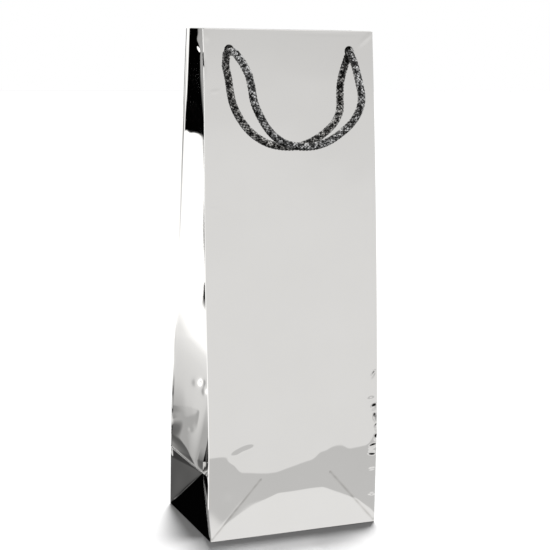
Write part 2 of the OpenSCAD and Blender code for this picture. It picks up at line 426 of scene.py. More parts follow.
GUSSET_W = math.sqrt(BAG_D * BAG_D / 4 + DENT * DENT)


def crease_in(z):
    pinch = rise(z) ** 2
    return np.sqrt(GUSSET_W**2 - half_depth(z) ** 2) * (1 - 0.07 * pinch)


def gusset_plan(z, u):
    """Plan of a gusset half: distance in from the side, and distance back from its corner."""
    pinch = rise(z) ** 2
    g, d = crease_in(z), half_depth(z)
    qx = lerp(g / 2, 0.18 * g, pinch)
    qy = lerp(d / 2, 0.76 * d, pinch)
    return 2 * u * (1 - u) * qx + u * u * g, 2 * u * (1 - u) * qy + u * u * d


# -------------------------------- cords

INNER_LEFT, INNER_RIGHT = (-45.5, -24.5, 344.4), (46, -23, 341.6)
OUTER_LEFT, OUTER_RIGHT = (-42.5, -36, 337), (45.5, -33, 331)
EXIT_LEFT = [(-46, -13.4, 345.3), (-46, -17, 344.5), (-46, -19.5, 344.3), (-45.9, -21.6, 344.4)]
EXIT_RIGHT = [(46, -13.4, 345.3), (46, -17, 344.4), (46, -19, 344), (46, -20.9, 343.3)]
BEND_LEFT = [INNER_LEFT, (-44.9, -27.5, 343.8), (-44, -30.5, 341.5), (-43.2, -33.8, 339)]
BEND_RIGHT = [INNER_RIGHT, (46, -26, 338.9), (45.8, -29, 335.8), (45.7, -31.2, 333.4)]
LOOP = [
    OUTER_LEFT, (-39.5, -40, 329), (-38, -42, 320.5), (-36.5, -42.5, 312), (-33, -43, 303.5),
    (-27, -43, 294), (-20, -42.5, 287), (-11, -42, 282), (0, -42, 280), (11, -42, 280.5),
    (21, -41.5, 283.5), (30.5, -41, 289), (39, -40.5, 296), (44.5, -40.5, 304.5),
    (46, -41, 313.5), (45.5, -38, 323), OUTER_RIGHT,
]
JUNCTION_LEFT = (-44, -30.5, 341.5)
JUNCTION_RIGHT = (46, -26.5, 338.4)
STRANDS = 6
BRAID_R = 2.0
STRAND_WIDE = 0.72
STRAND_HIGH = 0.6
WEAVE = 0.3
LAY_LENGTH = 15.0
TUBE_SIDES = 6
CORE_SHARE = 0.86
KNOT_SIZE = 0.62


def through(points, spacing):
    """A smooth line through the points, with points about `spacing` apart."""
    p = np.asarray(points, float)
    p = np.vstack([2 * p[0] - p[1], p, 2 * p[-1] - p[-2]])
    line = []
    for i in range(1, len(p) - 2):
        for t in np.linspace(0, 1, 24, endpoint=False):
            a = -0.5 * p[i - 1] + 1.5 * p[i] - 1.5 * p[i + 1] + 0.5 * p[i + 2]
            b = p[i - 1] - 2.5 * p[i] + 2 * p[i + 1] - 0.5 * p[i + 2]
            c = 0.5 * (p[i + 1] - p[i - 1])
            line.append(((a * t + b) * t + c) * t + p[i])
    line.append(p[-2])
    line = np.array(line)
    along = np.concatenate([[0], np.cumsum(np.linalg.norm(np.diff(line, axis=0), axis=1))])
    at = np.linspace(0, along[-1], max(2, int(round(along[-1] / spacing)) + 1))
    return np.stack([np.interp(at, along, line[:, k]) for k in range(3)], axis=1), at


def carried_frames(line):
    """Two directions across the line at each point, turned as little as possible along it."""
    way = unit(np.gradient(line, axis=0))
    side = np.cross(way[0], (0.3, 0.2, 1.0))
    side = side / np.linalg.norm(side)
    sides = []
    for w in way:
        side = side - w * np.dot(side, w)
        side = side / np.linalg.norm(side)
        sides.append(side)
    sides = np.array(sides)
    return way, sides, np.cross(way, sides)


def tube_faces(rings, sides, first):
    faces = []
    for i in range(rings - 1):
        for k in range(sides):
            a, b = first + i * sides + k, first + i * sides + (k + 1) % sides
            faces.append((a, b, b + sides, a + sides))
    faces.append(tuple(first + k for k in reversed(range(sides))))
    faces.append(tuple(first + (rings - 1) * sides + k for k in range(sides)))
    return faces


def braid(name, line, at, span, size=1.0):
    """The part of a braided cord between two places along its line: strands wound both ways,
    over and under each other, round a core."""
    way, n, b = carried_frames(line)
    keep = (at >= span[0] - 1e-6) & (at <= span[1] + 1e-6)
    c, way, n, b, s = line[keep], way[keep], n[keep], b[keep], at[keep]
    points, faces = [], []
    round_it = np.arange(TUBE_SIDES) * 2 * math.pi / TUBE_SIDES
    turn = 2 * math.pi * s / LAY_LENGTH
    rng = np.random.default_rng(len(name))
    for hand in (1, -1):
        for i in range(STRANDS):
            angle = 2 * math.pi * i / STRANDS + hand * turn
            angle = angle + 0.05 * np.sin(turn * 2.3 + rng.uniform(0, 6))
            out = np.cos(angle)[:, None] * n + np.sin(angle)[:, None] * b
            lift = hand * WEAVE * np.cos(STRANDS * turn)
            middle = c + out * ((BRAID_R + lift) * size)[:, None]
            run = unit(np.gradient(middle, axis=0))
            across = unit(np.cross(run, out))
            up = np.cross(across, run)
            first = sum(len(p) for p in points)
            ring = (
                middle[:, None, :]
                + STRAND_WIDE * size * np.cos(round_it)[None, :, None] * across[:, None, :]
                + STRAND_HIGH * size * np.sin(round_it)[None, :, None] * up[:, None, :]
            )
            points.append(ring.reshape(-1, 3))
            faces += tube_faces(len(c), TUBE_SIDES, first)
    first = sum(len(p) for p in points)
    core = BRAID_R * CORE_SHARE * size
    ring = c[:, None, :] + core * (
        np.cos(round_it)[None, :, None] * n[:, None, :] + np.sin(round_it)[None, :, None] * b[:, None, :]
    )
    points.append(ring.reshape(-1, 3))
    threads = len(faces)
    faces += tube_faces(len(c), TUBE_SIDES, first)
    slots = [0] * threads + [1] * (len(faces) - threads)
    obj = mesh_object(name, np.concatenate(points), faces, slots, [CORD, CORE], sharp=70.0)
    return obj


def turned(points, half_turn):
    """Points of the front handle, or the same ones half a turn round for the back handle."""
    p = np.asarray(points, float)
    return p * np.array([-1.0, -1.0, 1.0]) if half_turn else p


def nearest_place(line, at, point):
    return float(at[np.argmin(np.linalg.norm(line - np.asarray(point, float), axis=1))])


def knot(name, side, half_turn):
    """An overhand knot pulled tight behind the hole, with its cut end pointing down."""
    centre = np.array([side * HOLE_X, -13.2, HOLE_Z])
    t = np.linspace(0.35, 2 * math.pi - 0.1, 26)
    ring = 2.3 + 1.05 * np.cos(3 * t)
    points = centre + np.stack([ring * np.cos(2 * t), 1.15 * np.sin(3 * t), ring * np.sin(2 * t)], axis=1)
    tail = points[-1] + np.array([[0.6, 1.4, -1.6], [0.9, 2.4, -4.2], [0.7, 3.0, -7.0]])
    line, at = through(turned(np.vstack([points, tail]), half_turn), 0.45)
    return braid(name, line, at, (0, at[-1]), size=KNOT_SIZE)


def make_handle(face, half_turn):
    """One cord: a hanging loop, with a stub at each end that passes through its hole to a knot."""
    route = EXIT_LEFT + BEND_LEFT + LOOP + BEND_RIGHT[::-1] + EXIT_RIGHT[::-1]
    line, at = through(turned(route, half_turn), 0.5)
    left = nearest_place(line, at, turned([JUNCTION_LEFT], half_turn)[0])
    right = nearest_place(line, at, turned([JUNCTION_RIGHT], half_turn)[0])
    panel, bends, handle = f"{face}_panel", f"{face}_cord_bends", f"{face}_handle"
    loop = braid(f"{face}_handle_loop", line, at, (left, right))
    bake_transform(loop)
    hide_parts(f"{face}_cord")
    others = []
    for side, span in (("left", (0.0, left)), ("right", (right, float(at[-1])))):
        stub = braid(f"{face}_handle_end_{side}", line, at, span)
        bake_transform(stub)
        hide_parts(f"{face}_cord_bend_{side}", f"{face}_cord_exit_{side}")
        tie = knot(f"{face}_handle_knot_{side}", WAY_X[side], half_turn)
        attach(tie, panel)
        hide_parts(f"{face}_knot_{side}")
        others += [stub, tie]
    kept = (at >= left) & (at <= right)
    path = line[kept][::4] * MM
    path = np.vstack([path, line[kept][-1] * MM])


for face, half_turn in (("front", False), ("back", True)):
    make_handle(face, half_turn)


# -------------------------------- front and back sheets


class Look:
    """How one face is creased. `fold_tops` gives the height of its bend at each x, `band_tops` the
    height up to which the foot leans out, and above which it leans in. Dents are (x, z), radii,
    turn, height outwards. `twist` is how far halfway up the left edge is set in."""

    def __init__(self, seed, fold_tops, band_tops, dents, twist):
        self.twist = twist
        self.waves = Waves(seed, 95.0)
        self.ripples = Waves(seed + 1, 34.0)
        self.fold_tops = fold_tops
        self.band_tops = band_tops
        self.dents = dents


FOLD_SOFT = 2.0
LOW_SLOPE = math.tan(math.radians(1.0))
BAND_SLOPE = math.tan(math.radians(0.45))
BEVEL_X = 0.35
BEVEL_Y = 0.5
PRESSED_OUTER = (63.5, 2.0)
PRESSED_INNER = (27.5, 42.5)
PRESSED_TURN = 48.0


def face_depth(x, z, look):
    """Distance of a face's outer side from the bag's middle plane."""
    sharp_bend = soft_table(look.fold_tops, x, 1.9)
    broad_bend = soft_table(look.fold_tops, x, 16.0)
    bend = lerp(sharp_bend, broad_bend, step(z, 74.0, 150.0)) - 0.7 * FOLD_SOFT
    r = soft_ramp(z - bend, FOLD_SOFT) / (BAG_H - bend)
    depth = BAG_D / 2 - lean_of(r)
    band = soft_table(look.band_tops, x, 1.6)
    low = LOW_SLOPE * z
    high = LOW_SLOPE * band - BAND_SLOPE * (z - band)
    foot = soft_min(low, high, 0.012)
    at_fold = LOW_SLOPE * band - BAND_SLOPE * (FOLD_H - band)
    foot = np.where(z < FOLD_H, foot, at_fold * (1 - step(z, FOLD_H, 130.0)))
    inside = step(HALF_W - np.abs(x), 0.0, 14.0) * step(z, 0.0, 30.0)
    stiff = 1 - 0.75 * step(z, 305.0, 330.0)
    wave = inside * stiff * (0.10 * look.waves.at(x, z) + 0.018 * look.ripples.at(x, z))
    depth = depth + foot + wave
    for centre, radii, turn, high_mm in look.dents:
        depth = depth + high_mm * dent(x, z, centre, radii, turn)
    up = rise(z)
    depth = depth - look.twist * 16 * (up * (1 - up)) ** 2 * (HALF_W - x) / BAG_W
    edge = np.clip((np.abs(x) - (HALF_W - BEVEL_X)) / BEVEL_X, 0, 1)
    return depth - BEVEL_Y * edge


def crease_lines(side):
    """Narrow pressed lines from the base corners up to the fold, as dents along them."""
    found = []
    for t in np.linspace(0, 1, 16):
        x = side * lerp(PRESSED_OUTER[0], PRESSED_INNER[0], t)
        z = lerp(PRESSED_OUTER[1], PRESSED_INNER[1], t)
        found.append(((x, z), (2.6, 0.6), -side * PRESSED_TURN, -0.008))
    return found


def painted_crease_shade_at(x, z):
    """How much painted shade darkens the foil along the pressed lines of the foot, in a patchy narrow
    line.
    """
    along = np.clip((PRESSED_OUTER[0] - np.abs(x)) / (PRESSED_OUTER[0] - PRESSED_INNER[0]), 0, 1)
    line = lerp(PRESSED_OUTER[1], PRESSED_INNER[1], along)
    aside = (z - line) * math.cos(math.radians(PRESSED_TURN))
    patchy = 0.82 + 0.18 * np.sin(0.9 * z + 1.7 * np.sin(0.31 * z))
    short = (z < PRESSED_INNER[1] + 0.5) & (np.abs(x) > PRESSED_INNER[0] - 1)
    return np.exp(-((aside / 0.75) ** 2)) * short * patchy


FRONT = Look(
    seed=11,
    fold_tops=[
        (-65, 64), (-56, 64), (-52, 63), (-48, 60), (-45, 53), (-42, 49), (-30, 47.5), (-24, 47),
        (-15, 47), (-5, 50), (5, 53), (13, 54.5), (15.5, 56), (18.5, 60), (24, 61), (28, 63.5),
        (33, 64), (37, 63.5), (42, 60), (52, 60), (58, 61), (61, 66), (63, 71), (65, 73),
    ],
    band_tops=[
        (-65, 4), (-60, 7), (-50, 13), (-42, 18), (-33, 23), (-25, 26), (-14, 31), (10, 32),
        (22, 32), (36, 26), (50, 19), (62, 9), (65, 5),
    ],
    dents=crease_lines(-1) + crease_lines(1) + [
        ((-38, 64), (8.5, 3.6), 16, -0.36), ((-45, 61), (4, 3.0), 0, -0.16),
        ((61.8, 112), (1.1, 3.0), -30, -0.7), ((60.0, 93.5), (3.2, 2.0), 14, -0.3),
        ((62.3, 87.5), (1.9, 2.4), -35, -1.0), ((63.0, 79.5), (1.4, 3.4), 8, -1.2),
        ((63.9, 73), (1.1, 2.2), -15, -0.9), ((64.2, 68), (0.9, 2.0), 0, 0.6),
        ((64.0, 64.5), (0.9, 1.6), 10, -0.6), ((61.6, 58.5), (2.4, 1.1), 15, -0.45),
        ((61.2, 53.5), (2.2, 1.0), -8, 0.45), ((61.5, 41), (2.4, 0.8), 4, -0.1),
        ((62, 22), (2.2, 0.7), -6, 0.1), ((-64.0, 338), (0.8, 7), 2, -0.4),
        ((-62.5, 355), (2.0, 3.4), 12, 0.15), ((60, 355), (6.5, 1.6), 40, 0.22),
        ((30, 357.5), (30, 0.9), 0, -0.07), ((-57, 317), (4, 1.2), 8, 0.08),
        ((-58, 236), (3.6, 1.2), -10, 0.07),
    ],
    twist=2.4,
)
BACK = Look(
    seed=41,
    fold_tops=[
        (-65, 60), (-52, 56), (-40, 50), (-20, 47), (0, 46), (18, 49), (34, 52), (52, 58), (65, 61),
    ],
    band_tops=[(-65, 5), (-58, 9), (-38, 22), (-20, 29), (12, 31), (30, 27), (60, 10), (65, 5)],
    dents=crease_lines(-1) + crease_lines(1) + [
        ((34, 58), (10, 2.6), -18, 0.10), ((63.0, 131), (1.4, 3.0), -20, -0.3),
        ((-62.8, 88), (1.6, 2.6), 20, -0.3), ((-60.5, 81), (2.4, 2.0), -15, 0.2),
        ((63.2, 74), (1.4, 2.4), 5, 0.28), ((-63.0, 352), (2.0, 3.0), 14, 0.14),
    ],
    twist=0.0,
)
LOOKS = {"front": FRONT, "back": BACK}


def edge_out(z):
    """How far the front's left edge stands out sideways: its corner at the table is tucked in."""
    return 2.0 * step(z, 0.0, 26.0) * (1 - step(z, 170.0, 352.0))


def on_face(x, z, face, off=0.0):
    """A point of a face, set in by `off`. The back is the front turned half round."""
    look = LOOKS[face]
    depth = face_depth(x, z, look)
    if face == "front":
        x = x - edge_out(z) * step(-x, 10.0, HALF_W) ** 2
    p = np.stack(np.broadcast_arrays(x, -(depth - off), z), axis=-1)
    return p * np.array([-1.0, -1.0, 1.0]) if face == "back" else p


def punch(x, z, holes):
    """Marks the quads inside round holes, and moves the points around them onto the circles."""
    x, z = x.copy(), z.copy()
    middle_x = (x[:-1, :-1] + x[1:, 1:]) / 2
    middle_z = (z[:-1, :-1] + z[1:, 1:]) / 2
    drop = np.zeros(middle_x.shape, bool)
    for hx, hz, r in holes:
        inside = np.hypot(middle_x - hx, middle_z - hz) < r
        drop |= inside
        touched = np.zeros(x.shape, int)
        for a in (0, 1):
            for b in (0, 1):
                touched[a : x.shape[0] - 1 + a, b : x.shape[1] - 1 + b] += inside
        rim = (touched > 0) & (touched < 4)
        away = np.hypot(x - hx, z - hz)
        x = np.where(rim, hx + (x - hx) * r / np.maximum(away, 1e-6), x)
        z = np.where(rim, hz + (z - hz) * r / np.maximum(away, 1e-6), z)
    return x, z, drop


HOLES = [(-HOLE_X, HOLE_Z, HOLE_R), (HOLE_X, HOLE_Z, HOLE_R)]


def columns_across():
    """Places across a face, closest together at its edges."""
    middle = np.linspace(-(HALF_W - 4), HALF_W - 4, 180)
    near = np.array([61.6, 62.2, 62.8, 63.4, 63.9, 64.3, 64.65, 64.82, 65.0])
    return np.concatenate([-near[::-1], middle, near])


def rows_up(top):
    """Heights up a face, closest together round its fold and its mouth."""
    low = np.linspace(0, 120, 216)
    high = np.linspace(120, 312, 130)[1:]
    return np.concatenate([low, high, np.linspace(312, top, 50)[1:]])


SHEET_TOP = BAG_H - 0.45


def make_face_sheet(face):
    """A face from the table to the mouth, in one piece that bends along the fold."""
    x, z = np.meshgrid(columns_across(), rows_up(SHEET_TOP))
    x, z, drop = punch(x, z, HOLES)
    outer = on_face(x, z, face)
    inner = on_face(x * (1 - 0.5 / HALF_W), np.maximum(z, 0.0), face, PAPER_T)
    obj = shell(f"{face}_face_sheet", outer, inner, [FOIL, PAPER], drop)
    at = np.empty(len(obj.data.vertices) * 3, np.float32)
    obj.data.vertices.foreach_get("co", at)
    at = at.reshape(-1, 3) / MM
    # The painted shade along the pressed creases, kept on the points for the foil material.
    painted_crease_shade = obj.data.attributes.new("painted_crease_shade", "FLOAT", "POINT")
    painted_crease_shade.data.foreach_set("value", painted_crease_shade_at(at[:, 0], at[:, 2]).astype(np.float32))
    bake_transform(obj)
    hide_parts(f"{face}_panel", f"{face}_foot_panel")


def make_face_lining(face):
    """Board and turned-in hem behind the top of a face. The hem wraps over the mouth's edge."""
    cols = np.linspace(-(HALF_W - 1.6), HALF_W - 1.6, 108)
    x, z = np.meshgrid(cols, np.linspace(BAG_H - HEM_H + 2, BAG_H - 1.0, 38))
    inset = np.abs(x) > HALF_W - HEM_INSET
    x, z, drop = punch(x, z, HOLES)
    drop |= inset[:-1, :-1] | inset[1:, 1:]
    board = shell(
        f"{face}_board", on_face(x, z, face, PAPER_T + LAYER),
        on_face(x, z, face, PAPER_T + LAYER + BOARD_T), [BOARD], drop,
    )
    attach(board, f"{face}_panel")
    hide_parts(f"{face}_top_board")
    over = [
        (0.02, -0.45), (0.08, -0.2), (0.26, -0.04), (0.5, 0.0), (1.4, 0.0), (1.68, -0.06),
        (1.88, -0.24), (STACK_T, -0.6), (STACK_T, -1.0),
    ]
    down = [(STACK_T, -d) for d in np.linspace(2.0, HEM_H, 40)]
    path = np.array(over + down)
    start = [
        (0.3, 0.0), (0.3, 0.0), (0.2, -0.3), (0.0, -0.35), (0.0, -0.35), (-0.12, -0.33), (-0.3, -0.12),
    ]
    inward = np.array(start + [(-0.35, 0.0)] * (len(path) - len(start)))
    x, off = np.meshgrid(cols, path[:, 0])
    z = np.broadcast_to(BAG_H + path[:, 1][:, None], x.shape)
    thin = 1 - 0.52 * step(np.abs(x), HALF_W - HEM_INSET, HALF_W - 5)
    x, z, drop = punch(x, z, HOLES)
    drop[: len(over)] = False
    outer = on_face(x, z, face, off * thin)
    inner = on_face(x, z + inward[:, 1][:, None], face, (off + inward[:, 0][:, None]) * thin)
    hem = shell(f"{face}_mouth_hem", outer, inner, [FOIL, PAPER], drop)
    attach(hem, f"{face}_panel")
    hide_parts(f"{face}_hem")


# -------------------------------- sides

FOLD_FRONT_Z = 49.0
FOLD_BACK_Z = 47.0


class Side:
    """How one side of the bag is dented. Dents are (y, z), radii, turn, height outwards. The fold
    stands out by `ridge` in front of the crease and by `sliver` behind it. `facing` is 1 where the
    buckles are behind the crease and -1 where they are in front of it."""

    def __init__(self, seed, dents, ridge, sliver, facing):
        self.facing = facing
        self.waves = Waves(seed, 60.0)
        self.dents = dents
        self.ridge = ridge
        self.sliver = sliver


LEFT = Side(
    seed=71,
    dents=[
        ((18.5, 100.5), (3.2, 3.4), 20, 0.42), ((13, 101.5), (1.9, 2.6), 0, -0.55),
        ((10, 95.5), (2.2, 3.0), -10, 0.5), ((20, 64.5), (2.4, 1.5), 10, -0.22),
        ((9.3, 352.5), (1.1, 2.0), 20, -0.45), ((10.2, 346.5), (0.8, 3.2), -12, 0.4),
        ((10.6, 337), (0.7, 7), 4, 0.25), ((-16.5, 334), (2.6, 26), 0, 1.0),
    ],
    ridge=0.5, sliver=1.3, facing=1.0,
)
RIGHT = Side(
    seed=83,
    dents=[
        ((18, 104), (6, 5), -20, 1.0), ((26, 58), (7, 5), 16, 0.9), ((-12, 112), (4, 4), 0, -0.5),
        ((17, 336), (2.6, 22), 0, 0.8),
    ],
    ridge=0.5, sliver=1.0, facing=-1.0,
)
SIDES = {"left": LEFT, "right": RIGHT}


def fold_line(v):
    """Height of the fold between side and foot, from the tip (v = 0) to the corners (v = -1, 1)."""
    return TIP_Z + (np.where(v < 0, FOLD_FRONT_Z, FOLD_BACK_Z) - TIP_Z) * np.abs(v)


def ridge_out(v, side):
    """How far the fold stands out from the straight line between the corner and the tip."""
    a = np.abs(v)
    near_corner = step(1 - a, 0.0, 0.09)
    return near_corner * np.where(v > 0, side.sliver * a, side.ridge * a) * step(a, 0.0, 0.3)


LIP = 0.4
BUCKLE_SLOPE = 0.15
BUCKLE_TOPS = [(-45, 36), (2, 36), (8, 38), (13.7, 44), (19, 49), (28.6, 54), (42, 56), (50, 57)]
LEAF_SLOPE = 0.125
# How far the sides swell out, by the height above or below SWELL_MIDDLE
SWELL_MIDDLE = 265.0
SWELL = [(-88, 0.0), (21, 0.95), (75, 0.3), (90, 0.15)]


def buckles(y, z, above):
    """Where the side's paper buckles above its fold: a flat that leans out from the fold up to a
    curved crease, and above it a shallow pointed dent like a leaf."""
    top = soft_table(BUCKLE_TOPS, y, 3.0)
    reach = np.maximum(0, top - (z - above))
    flat = BUCKLE_SLOPE * np.clip(above, 0, reach) * (1 - step(z, top, 116.0))
    from_tip = np.clip((y - 14.0) / 27.0, 0, 1.2)
    half = 6.0 * np.sqrt(from_tip)
    middle = 80.0 - 7.0 * from_tip
    leaf = np.clip(middle + half - z, 0, 2 * half) * step(z, middle - half - 15.0, middle - half)
    return flat - LEAF_SLOPE * leaf


def edge_depth(z, v, name):
    """Depth of the face that a side's corner joins, at the corner."""
    front_x, back_x = (-HALF_W, HALF_W) if name == "left" else (HALF_W, -HALF_W)
    inset = BEVEL_X + 0.001
    front = face_depth(np.sign(front_x) * (HALF_W - inset) + 0 * z, z, FRONT)
    back = face_depth(np.sign(back_x) * (HALF_W - inset) + 0 * z, z, BACK)
    return np.where(v < 0, front, back)


def side_point(z, v, name):
    """A point of a side's outer face above the fold."""
    look = SIDES[name]
    u = 1 - np.abs(v)
    in_x, in_y = gusset_plan(z, u)
    depth = edge_depth(z, v, name)
    from_corner = in_y * depth / half_depth(z) + BEVEL_Y * (1 - u) ** 36
    y = np.sign(v) * (depth - from_corner)
    y = np.where(np.abs(v) < 1e-9, 0.0, y)
    above = z - fold_line(v)
    out = 0.2 * look.waves.at(y, z) * (1 - 0.85 * step(z, 105.0, 150.0)) * step(above, 0.0, 9.0)
    out = out + buckles(y * look.facing, z, above)
    out = out + soft_table(SWELL, z - SWELL_MIDDLE, 3.0) * step(u, 0.0, 0.1)
    for centre, radii, turn, high in look.dents:
        out = out + high * dent(y, z, centre, radii, turn) * step(above, 0.0, 2.5)
    out = out * step(u, 0.0, 0.07)
    out = out + ridge_out(v, look) * np.exp(-((above / 5.0) ** 2))
    out = out + LIP * np.exp(-above / 0.9) * step(u, 0.0, 0.05) * step(1 - u, 0.0, 0.05)
    if name == "left":
        out = out + edge_out(z) * step(-v, 0.0, 1.0)
    x = (HALF_W - in_x + out) * WAY_X[name]
    return np.stack([x, y, np.broadcast_to(z, x.shape)], axis=-1)


def inset_skin(points, amount, inwards):
    """The same grid moved by `amount` along its own normals, towards `inwards`."""
    down = np.gradient(points, axis=0)
    across = np.gradient(points, axis=1)
    normal = unit(np.cross(down, across))
    flip = np.sign((normal * inwards).sum(-1, keepdims=True))
    flip[flip == 0] = 1
    return points + normal * flip * amount


def make_gusset(name, half):
    """Half of a side, from its corner edge to the crease that pleats it."""
    low, high = (-1.0, 0.0) if half == "front" else (0.0, 1.0)
    v = np.linspace(low, high, 64)
    v = np.sign(v) * (1 - (1 - np.abs(v)) ** 1.25)
    up = np.concatenate([np.arange(0, 3, 0.3), np.arange(3, 80, 0.9), np.linspace(80, 320, 170)]) / 320
    v, t = np.meshgrid(v, up)
    start = fold_line(v)
    z = start + (SHEET_TOP - start) * t
    outer = side_point(z, v, name)
    inwards = np.array([-WAY_X[name], 0.0, 0.0])
    obj = shell(f"{name}_side_{half}", outer, inset_skin(outer, PAPER_T, inwards), [FOIL, PAPER])
    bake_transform(obj)
    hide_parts(f"{name}_gusset_{half}")


def make_gusset_hem(name, half):
    """The turned-in top of a side, wrapped over the mouth's edge like the hem of a face."""
    low, high = (-0.93, -0.03) if half == "front" else (0.03, 0.93)
    v = np.linspace(low, high, 40)
    over = [(0.02, -0.45), (0.1, -0.15), (0.3, 0.0), (0.65, 0.0), (0.9, -0.12), (1.05, -0.4)]
    path = np.array(over + [(1.08, -d) for d in np.linspace(1.0, HEM_H, 40)])
    start = [(0.25, 0.0), (0.2, -0.2), (0.05, -0.3), (-0.05, -0.3), (-0.2, -0.2)]
    inward = np.array(start + [(-0.35, 0.0)] * (len(path) - len(start)))
    inwards = np.array([-WAY_X[name], 0.0, 0.0])
    level = SHEET_TOP + 0 * v

    def skin(off, up):
        rows = []
        for o, h in zip(off, up):
            z = np.minimum(level, BAG_H + h)
            base = side_point(np.stack([z, z - 1.0]), np.stack([v, v]), name)
            moved = inset_skin(base, o, inwards)[0]
            moved[:, 2] = BAG_H + h
            rows.append(moved)
        return np.array(rows)

    outer = skin(path[:, 0], path[:, 1])
    inner = skin(path[:, 0] + inward[:, 0], path[:, 1] + inward[:, 1])
    obj = shell(f"{name}_hem_wrap_{half}", outer, inner, [FOIL, PAPER])
    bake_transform(obj)
    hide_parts(f"{name}_hem_{half}")


# -------------------------------- foot of the sides


RIDGE_FROM = 0.79


def foot_patch(name, look, corner_a, corner_b, kind):
    """A triangle of paper from the edge a-b to the tip, with the folds along its borders."""
    hand = WAY_X[name]
    tip = np.array([hand * (HALF_W - DENT), 0.0, TIP_Z])
    s, t = np.meshgrid(np.linspace(0, 1, 84), np.linspace(0, 0.995, 64))
    if kind != "bottom":
        s = s**1.7
    a, b = np.asarray(corner_a, float), np.asarray(corner_b, float)
    edge = a + (b - a) * s[..., None]
    p = edge + (tip - edge) * t[..., None]
    v = 1 - t
    arch = np.sin(math.pi * t)
    dome = np.sin(math.pi * s) * arch
    if kind == "bottom":
        rim = np.minimum(s, 1 - s) * v * BAG_D
        out = 0.25 * look.waves.at(p[..., 1], p[..., 2] * 2) * dome + 0.3 * np.exp(-rim / 0.5) * arch
    else:
        out = ridge_out(WAY_Y[kind] * v, look) * np.clip((s - RIDGE_FROM) / (1 - RIDGE_FROM), 0, 1)
        out = out + 0.12 * look.waves.at(p[..., 1] * 1.5, p[..., 2]) * dome
        out = out + 0.3 * np.exp(-s * v * FOLD_H / 0.8) * arch
        lip = np.exp(-(1 - s) * v * FOLD_H / 0.5) * step(v, 0.0, 0.05) * step(t, 0.0, 0.05)
        out = out + LIP * lip
    p[..., 0] += hand * out
    return p


def make_foot(name):
    """The three facets folded into each other at the bottom of a side."""
    look = SIDES[name]
    hand = WAY_X[name]
    inwards = np.array([-hand, 0.0, 0.25])
    corners = {}
    for half, z in (("front", FOLD_FRONT_Z), ("back", FOLD_BACK_Z)):
        sign = WAY_Y[half]
        top = side_point(np.array([z]), np.array([sign]), name)[0]
        base = edge_depth(np.array([0.0]), np.array([sign]), name)[0] - BEVEL_Y
        corners[half] = (np.array([hand * HALF_W, sign * base, 0.0]), top)
    bottom = foot_patch(name, look, corners["back"][0], corners["front"][0], "bottom")
    inner = inset_skin(bottom, PAPER_T, inwards)
    triangle = shell(f"{name}_foot_facet", bottom, inner, [FOIL, PAPER])
    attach(triangle, "bag_base")
    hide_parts(f"{name}_foot_triangle")
    for half in ("front", "back"):
        patch = foot_patch(name, look, corners[half][0], corners[half][1], half)
        inner = inset_skin(patch, PAPER_T, inwards)
        piece = shell(f"{name}_foot_{half}_facet", patch, inner, [FOIL, PAPER])
        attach(piece, "bag_base")
        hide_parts(f"{name}_foot_{half}_corner")


# -------------------------------- base, card and seam


def flat_sheet(name, x_span, y_span, z, thick, materials, corner_cut, seed, cells=(60, 40)):
    """A piece of paper or board with blunted corners, flat but for a few hundredths."""
    x, y = np.meshgrid(np.linspace(*x_span, cells[0]), np.linspace(*y_span, cells[1]))
    middle = np.array([sum(x_span) / 2, sum(y_span) / 2])
    half = np.array([(x_span[1] - x_span[0]) / 2, (y_span[1] - y_span[0]) / 2])
    px, py = np.abs(x - middle[0]), np.abs(y - middle[1])
    past_x, past_y = px - half[0] + corner_cut, py - half[1] + corner_cut
    over = np.maximum(0, past_x) + np.maximum(0, past_y)
    pull = np.where(over > corner_cut, corner_cut / np.maximum(over, 1e-9), 1.0)
    in_corner = (past_x > 0) & (past_y > 0)
    moved_x = half[0] - corner_cut + past_x * pull
    moved_y = half[1] - corner_cut + past_y * pull
    x = np.where(in_corner, middle[0] + np.sign(x - middle[0]) * moved_x, x)
    y = np.where(in_corner, middle[1] + np.sign(y - middle[1]) * moved_y, y)
    lift = 0.02 * (1 + Waves(seed, 40.0).at(x, y))
    low = np.stack([x, y, z + lift], axis=-1)
    high = np.stack([x, y, z + thick + lift], axis=-1)
    return shell(name, low, high, materials)


FLAP_REACH = 65
CARD_T = 1.2


def make_base():
    """The four glued flaps, one over the other, and the loose card on them."""
    level = PAPER_T + LAYER
    rim = BAG_D / 2 - 0.7
    wide = (-HALF_W + 0.8, HALF_W - 0.8)
    short = (-rim + 0.7, rim - 0.7)
    flaps = [
        ("bottom_flap_back", wide, (rim - FLAP_REACH, rim), 0.0, 9.0),
        ("bottom_flap_front", wide, (-rim, -rim + FLAP_REACH), level, 9.0),
        ("bottom_flap_left", (-HALF_W + 1.4, -HALF_W + 43.4), short, 2 * level, 6.0),
        ("bottom_flap_right", (HALF_W - 43.4, HALF_W - 1.4), short, 2 * level, 6.0),
    ]
    for seed, (node, x_span, y_span, z, cut) in enumerate(flaps):
        flap = flat_sheet(f"{node}_sheet", x_span, y_span, z, PAPER_T, [FOIL, PAPER], cut, 200 + seed)
        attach(flap, "bag_base")
        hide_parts(node)
    x_span, y_span = (-HALF_W + 4, HALF_W - 4), (-rim + 2.3, rim - 2.3)
    card = flat_sheet("base_card", x_span, y_span, 3 * level, CARD_T, [BOARD], 2.5, 210)
    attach(card, "bottom_card")
    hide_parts("bottom_card")


